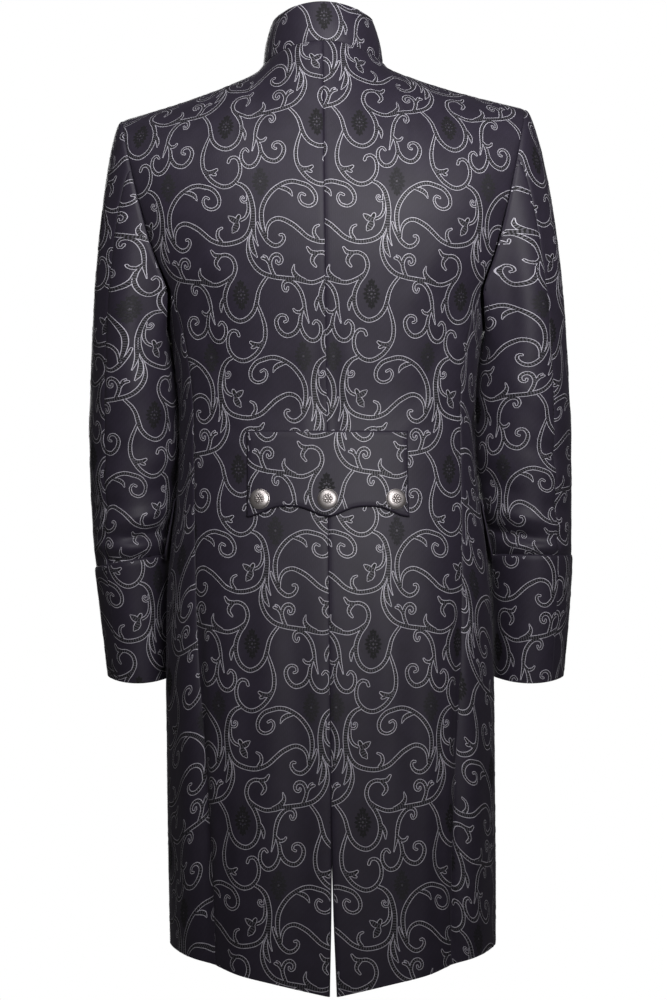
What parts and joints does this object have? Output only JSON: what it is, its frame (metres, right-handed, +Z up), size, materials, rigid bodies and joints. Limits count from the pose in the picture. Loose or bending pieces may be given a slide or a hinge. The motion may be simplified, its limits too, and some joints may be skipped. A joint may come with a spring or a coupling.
{
  "type": "frock coat",
  "caption": "Knee-length stand-collar frock coat in charcoal brocade, hollow and open, with deep cuffs, half belt and back vent.",
  "frame": {"origin": "middle of the neck opening, level with the side neck points, where the wearer's neck and shoulders hold the coat", "axes": "+Z up, the wearer faces -Y, the wearer's left is +X"},
  "size_m": [0.5518, 0.2815, 1.0899],
  "materials": {
    "brocade": "satin brocade, charcoal ground with silver-lilac outlined scrolls",
    "antique_metal": "domed cast button, antique silver"
  },
  "bodies": {
    "root": {"back_left": "brocade", "back_right": "brocade", "side_left": "brocade", "side_right": "brocade", "front_left": "brocade", "front_right": "brocade", "collar": "brocade", "top_sleeve_left": "brocade", "top_sleeve_right": "brocade", "under_sleeve_left": "brocade", "under_sleeve_right": "brocade", "cuff_left": "brocade", "cuff_right": "brocade", "half_belt": "brocade", "pocket_flap_left": "brocade", "pocket_flap_right": "brocade", "belt_button_1": "antique_metal", "belt_button_2": "antique_metal", "belt_button_3": "antique_metal", "front_button_1": "antique_metal", "front_button_2": "antique_metal", "front_button_3": "antique_metal", "front_button_4": "antique_metal", "front_button_5": "antique_metal", "front_button_6": "antique_metal", "front_button_7": "antique_metal"}
  },
  "joints": []
}
